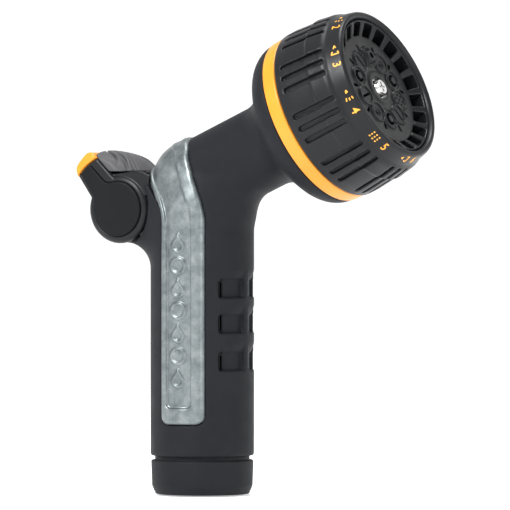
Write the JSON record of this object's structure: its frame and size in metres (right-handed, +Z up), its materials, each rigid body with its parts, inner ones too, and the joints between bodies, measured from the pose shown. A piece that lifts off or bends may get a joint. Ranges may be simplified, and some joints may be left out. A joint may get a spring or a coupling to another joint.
{
  "type": "hose spray nozzle",
  "caption": "Hand-held garden hose nozzle: rubber covered handle with a threaded hose inlet, thumb lever flow valve and turning spray pattern dial.",
  "frame": {"origin": "centre of the hose inlet's mouth at the bottom of the handle", "axes": "+Z up the handle's axis, +X towards the spray side, Y across the handle; the lever is on the -X side"},
  "size_m": [0.1321, 0.0628, 0.1712],
  "materials": {
    "rubber_charcoal": "soft matt overmould",
    "rubber_black": "matt",
    "washer_rubber": "matt",
    "cast_metal": "as cast",
    "bare_zinc": "tumbled bare casting",
    "plastic_black": "satin moulded",
    "cover_black": "fine texture",
    "plastic_grey": "satin moulded",
    "plastic_orange": "semi gloss moulded",
    "acetal_dark": "machined acetal",
    "acetal_white": "machined acetal",
    "brass": "turned",
    "steel": "bright plated"
  },
  "bodies": {
    "body": {"cast_body": "cast_metal", "grip_overmold": "rubber_charcoal", "saddle_strap": "bare_zinc", "inlet_bumper": "rubber_charcoal", "inlet_insert": "plastic_black", "hose_washer": "washer_rubber", "inlet_screen": "steel", "seat_ring": "brass", "gland_bushes": "acetal_white", "chamber_cap": "brass", "cap_o_ring": "rubber_black", "deck_plate": "acetal_dark", "deck_o_ring": "rubber_black", "deck_screws": "steel", "port_seal": "rubber_black", "port_spring": "steel", "detent_pin": "steel", "detent_spring": "steel", "accent_ring": "plastic_orange", "dial_screw": "steel", "dial_washer": "steel"},
    "lever": {"thumb_lever": "plastic_black", "thumb_pad": "plastic_grey", "lever_tip": "plastic_orange", "side_covers": "cover_black", "valve_spindle": "brass", "spindle_o_rings": "rubber_black", "lever_screws": "steel"},
    "plunger": {"plunger_rod": "brass", "plunger_yoke": "acetal_white", "plunger_seal": "rubber_black", "seal_screw": "steel", "plunger_o_ring": "rubber_black"},
    "dial": {"dial_shell": "plastic_black", "dial_face": "plastic_black", "dial_back_plate": "acetal_dark", "dial_o_ring": "rubber_black", "jet_insert": "plastic_black", "cone_inserts": "plastic_black", "fan_inserts": "plastic_black", "mist_inserts": "plastic_black", "shower_inserts": "plastic_black"}
  },
  "joints": [
    {"name": "lever_pivot", "type": "hinge", "parent": "body", "child": "lever", "pos_m": [-0.027, 0, 0.1017], "axis": [0, -1, 0], "range_deg": [0, 45]},
    {"name": "plunger_slide", "type": "slide", "parent": "body", "child": "plunger", "axis": [-1, 0, 0], "range_m": [0, 0.00307]},
    {"name": "dial_turn", "type": "hinge", "parent": "body", "child": "dial", "pos_m": [0, 0, 0.1121], "axis": [0.9135, 0, 0.4067], "continuous": true}
  ],
  "couplings": [
    {"joint": "plunger_slide", "follows": "lever_pivot", "m_per_rad": 0.0039}
  ]
}
